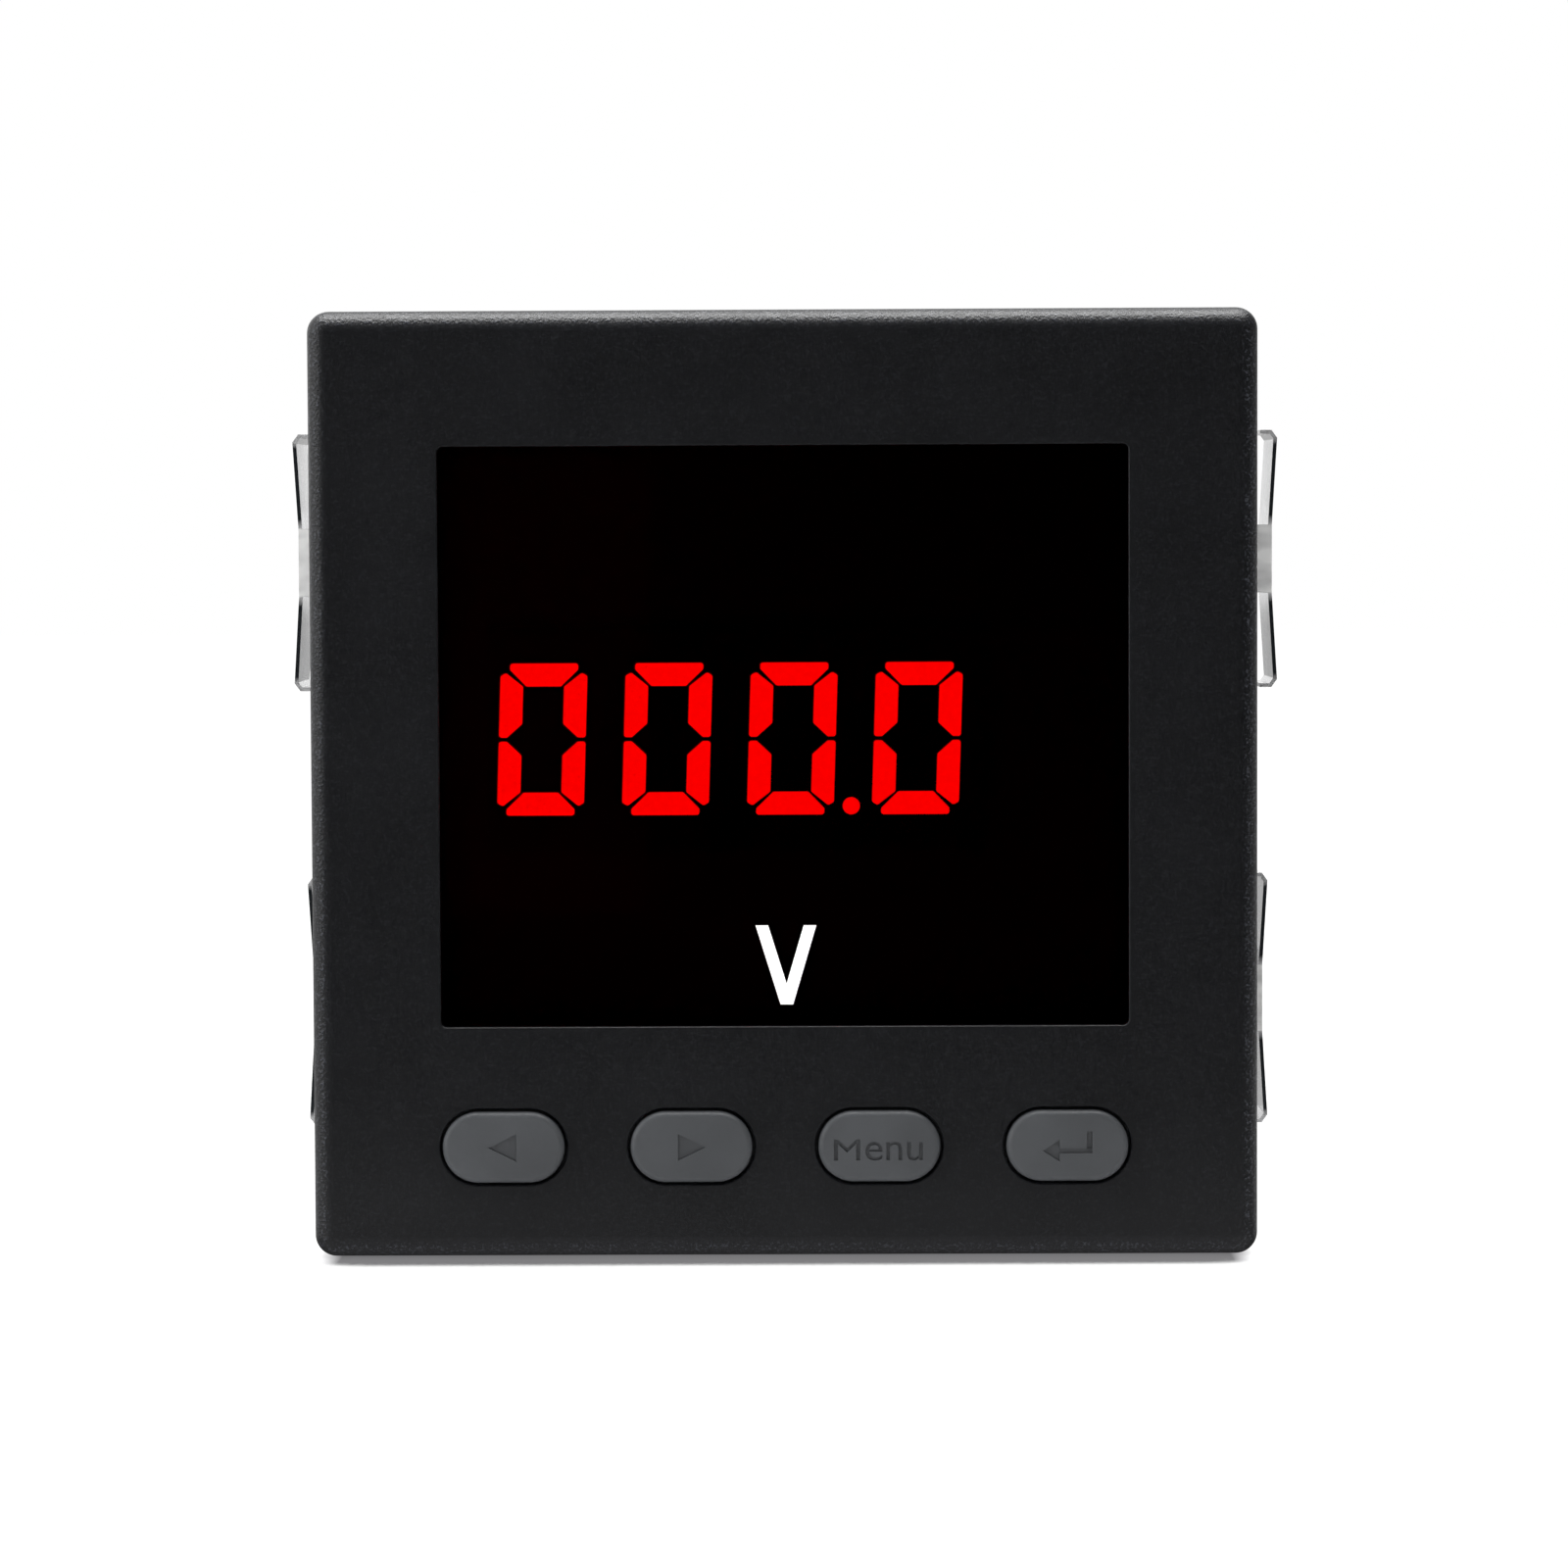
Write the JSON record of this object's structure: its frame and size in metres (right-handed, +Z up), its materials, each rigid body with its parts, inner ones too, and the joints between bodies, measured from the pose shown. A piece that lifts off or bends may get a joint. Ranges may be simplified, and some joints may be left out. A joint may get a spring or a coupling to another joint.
{
  "type": "digital panel meter",
  "caption": "Square panel-mounted voltmeter: black bezel, red seven-segment display behind a dark window, oblong keys, folded spring clips and rear screw terminals.",
  "frame": {"origin": "middle of the bezel's rear seating face, where the front of the panel lies", "axes": "+X to the right seen from the front, +Y back into the panel, +Z up"},
  "size_m": [0.1042, 0.0808, 0.096],
  "materials": {
    "case_black": "fine sparked texture",
    "lens_red": "polished dark filter",
    "key_grey": "satin",
    "switch_black": "moulded",
    "board": "solder resist",
    "screw_steel": "zinc plated",
    "display_black": "painted face",
    "segment_lit": "lit resin",
    "segment_dark": "unlit resin",
    "tinned_pin": "tinned",
    "chip_black": "moulded epoxy",
    "ribbon_grey": "flat cable",
    "core_steel": "varnished laminations",
    "bobbin_nylon": "moulded",
    "copper_wire": "taped winding",
    "capacitor_sleeve": "shrunk sleeve",
    "resistor_blue": "lacquer",
    "fuse_glass": "clear",
    "terminal_black": "moulded",
    "plate_brass": "tinned brass",
    "spring_steel": "bright stainless"
  },
  "bodies": {
    "meter": {"bezel": "case_black", "window_lens": "lens_red", "switch_bodies": "switch_black", "display_board": "board", "board_screws": "screw_steel", "display_module": "display_black", "lit_segments": "segment_lit", "unlit_segments": "segment_dark", "module_pins": "tinned_pin", "processor_chip": "chip_black", "driver_chip": "chip_black", "crystal_can": "tinned_pin", "front_header": "switch_black", "rear_header": "switch_black", "ribbon_cable": "ribbon_grey", "housing": "case_black", "rear_cover": "case_black", "cover_screws": "screw_steel", "rear_board": "board", "transformer_core": "core_steel", "transformer_bobbin": "bobbin_nylon", "transformer_winding": "copper_wire", "capacitors": "capacitor_sleeve", "input_resistors": "resistor_blue", "bridge_rectifier": "chip_black", "fuse_tube": "fuse_glass", "fuse_clips": "tinned_pin", "terminal_block_upper": "terminal_black", "terminal_block_lower": "terminal_black", "terminal_plates": "plate_brass", "terminal_washers": "screw_steel", "terminal_screws": "screw_steel"},
    "left_key": {"key_left": "key_grey", "plunger_left": "switch_black"},
    "right_key": {"key_right": "key_grey", "plunger_right": "switch_black"},
    "menu_key": {"key_menu": "key_grey", "plunger_menu": "switch_black"},
    "enter_key": {"key_enter": "key_grey", "plunger_enter": "switch_black"},
    "upper_left_clip": {"clip_upper_left": "spring_steel"},
    "upper_right_clip": {"clip_upper_right": "spring_steel"},
    "lower_left_clip": {"clip_lower_left": "spring_steel"},
    "lower_right_clip": {"clip_lower_right": "spring_steel"}
  },
  "joints": [
    {"name": "press_left", "type": "slide", "parent": "meter", "child": "left_key", "axis": [0, 1, 0], "range_m": [0, 0.00045], "stiffness_N_per_m": 3000, "springref_m": -0.0002},
    {"name": "press_right", "type": "slide", "parent": "meter", "child": "right_key", "axis": [0, 1, 0], "range_m": [0, 0.00045], "stiffness_N_per_m": 3000, "springref_m": -0.0002},
    {"name": "press_menu", "type": "slide", "parent": "meter", "child": "menu_key", "axis": [0, 1, 0], "range_m": [0, 0.00045], "stiffness_N_per_m": 3000, "springref_m": -0.0002},
    {"name": "press_enter", "type": "slide", "parent": "meter", "child": "enter_key", "axis": [0, 1, 0], "range_m": [0, 0.00045], "stiffness_N_per_m": 3000, "springref_m": -0.0002},
    {"name": "slide_upper_left", "type": "slide", "parent": "meter", "child": "upper_left_clip", "axis": [0, 1, 0], "range_m": [-0.0125, 0.018]},
    {"name": "slide_upper_right", "type": "slide", "parent": "meter", "child": "upper_right_clip", "axis": [0, 1, 0], "range_m": [-0.0125, 0.018]},
    {"name": "slide_lower_left", "type": "slide", "parent": "meter", "child": "lower_left_clip", "axis": [0, 1, 0], "range_m": [-0.0235, 0.007]},
    {"name": "slide_lower_right", "type": "slide", "parent": "meter", "child": "lower_right_clip", "axis": [0, 1, 0], "range_m": [-0.0235, 0.007]}
  ]
}
